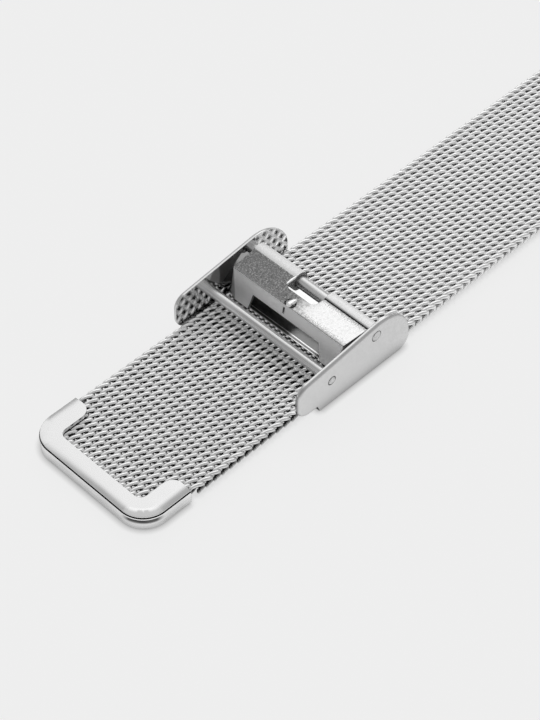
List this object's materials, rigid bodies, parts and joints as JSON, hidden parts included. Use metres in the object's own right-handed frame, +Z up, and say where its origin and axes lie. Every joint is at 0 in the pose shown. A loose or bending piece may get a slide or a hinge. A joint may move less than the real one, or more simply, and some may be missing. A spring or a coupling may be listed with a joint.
{
  "type": "mesh watch strap",
  "caption": "Long half of a woven steel mesh watch strap with a tail clip, a sliding lever clasp, a flexible woven band and a sprung bar at the watch end.",
  "frame": {"origin": "middle of the strap's footprint on the surface that it lies on", "axes": "+X along the strap from the tail clip to the watch end, +Z up, +Y across the strap"},
  "size_m": [0.1242, 0.0222, 0.0076],
  "materials": {
    "woven_steel": "woven bright steel wire",
    "polished_steel": "polished stainless steel",
    "satin_steel": "fine satin stainless steel with polished inner faces",
    "stamped_steel": "stamped sheet steel with a fine grain",
    "bar_steel": "turned stainless steel"
  },
  "bodies": {
    "tail": {"mesh_tail": "woven_steel", "clip_upper": "polished_steel", "clip_lower": "polished_steel"},
    "clasp": {"clasp_frame": "satin_steel", "front_bar": "polished_steel", "hinge_bar": "polished_steel", "pressure_plate": "stamped_steel"},
    "lever": {"lever": "stamped_steel"},
    "flex_1": {"mesh_flex_1": "woven_steel"},
    "flex_2": {"mesh_flex_2": "woven_steel"},
    "flex_3": {"mesh_flex_3": "woven_steel"},
    "flex_4": {"mesh_flex_4": "woven_steel"},
    "flex_5": {"mesh_flex_5": "woven_steel"},
    "flex_6": {"mesh_flex_6": "woven_steel"},
    "flex_7": {"mesh_flex_7": "woven_steel"},
    "case_end": {"mesh_lug": "woven_steel", "lug_sleeve": "polished_steel"},
    "spring_bar": {"bar_tube": "bar_steel", "bar_spring": "bar_steel"},
    "bar_tip_left": {"bar_tip_left": "bar_steel"},
    "bar_tip_right": {"bar_tip_right": "bar_steel"}
  },
  "joints": [
    {"name": "clasp_slide", "type": "slide", "parent": "tail", "child": "clasp", "axis": [1, 0, 0], "range_m": [-0.0155, 0.036]},
    {"name": "lever_hinge", "type": "hinge", "parent": "clasp", "child": "lever", "pos_m": [-0.02506, 0, 0.006], "axis": [0, 1, 0], "range_deg": [0, 100]},
    {"name": "mesh_bend_1", "type": "hinge", "parent": "tail", "child": "flex_1", "pos_m": [0.01919, 0, 0.00125], "axis": [0, -1, 0], "range_deg": [-20, 20]},
    {"name": "mesh_bend_2", "type": "hinge", "parent": "flex_1", "child": "flex_2", "pos_m": [0.02423, 0, 0.00125], "axis": [0, -1, 0], "range_deg": [-20, 20]},
    {"name": "mesh_bend_3", "type": "hinge", "parent": "flex_2", "child": "flex_3", "pos_m": [0.02926, 0, 0.00125], "axis": [0, -1, 0], "range_deg": [-20, 20]},
    {"name": "mesh_bend_4", "type": "hinge", "parent": "flex_3", "child": "flex_4", "pos_m": [0.03431, 0, 0.00125], "axis": [0, -1, 0], "range_deg": [-20, 20]},
    {"name": "mesh_bend_5", "type": "hinge", "parent": "flex_4", "child": "flex_5", "pos_m": [0.03934, 0, 0.00125], "axis": [0, -1, 0], "range_deg": [-20, 20]},
    {"name": "mesh_bend_6", "type": "hinge", "parent": "flex_5", "child": "flex_6", "pos_m": [0.04439, 0, 0.00125], "axis": [0, -1, 0], "range_deg": [-20, 20]},
    {"name": "mesh_bend_7", "type": "hinge", "parent": "flex_6", "child": "flex_7", "pos_m": [0.04942, 0, 0.00125], "axis": [0, -1, 0], "range_deg": [-20, 20]},
    {"name": "mesh_bend_8", "type": "hinge", "parent": "flex_7", "child": "case_end", "pos_m": [0.05446, 0, 0.00125], "axis": [0, -1, 0], "range_deg": [-20, 20]},
    {"name": "bar_spin", "type": "hinge", "parent": "case_end", "child": "spring_bar", "pos_m": [0.0608, 0, 0.00125], "axis": [0, 1, 0], "continuous": true},
    {"name": "bar_tip_left_press", "type": "slide", "parent": "spring_bar", "child": "bar_tip_left", "axis": [0, -1, 0], "range_m": [0, 0.00095], "stiffness_N_per_m": 600, "springref_m": -0.001, "deforming": ["bar_spring"]},
    {"name": "bar_tip_right_press", "type": "slide", "parent": "spring_bar", "child": "bar_tip_right", "axis": [0, 1, 0], "range_m": [0, 0.00095], "stiffness_N_per_m": 600, "springref_m": -0.001, "deforming": ["bar_spring"]}
  ]
}
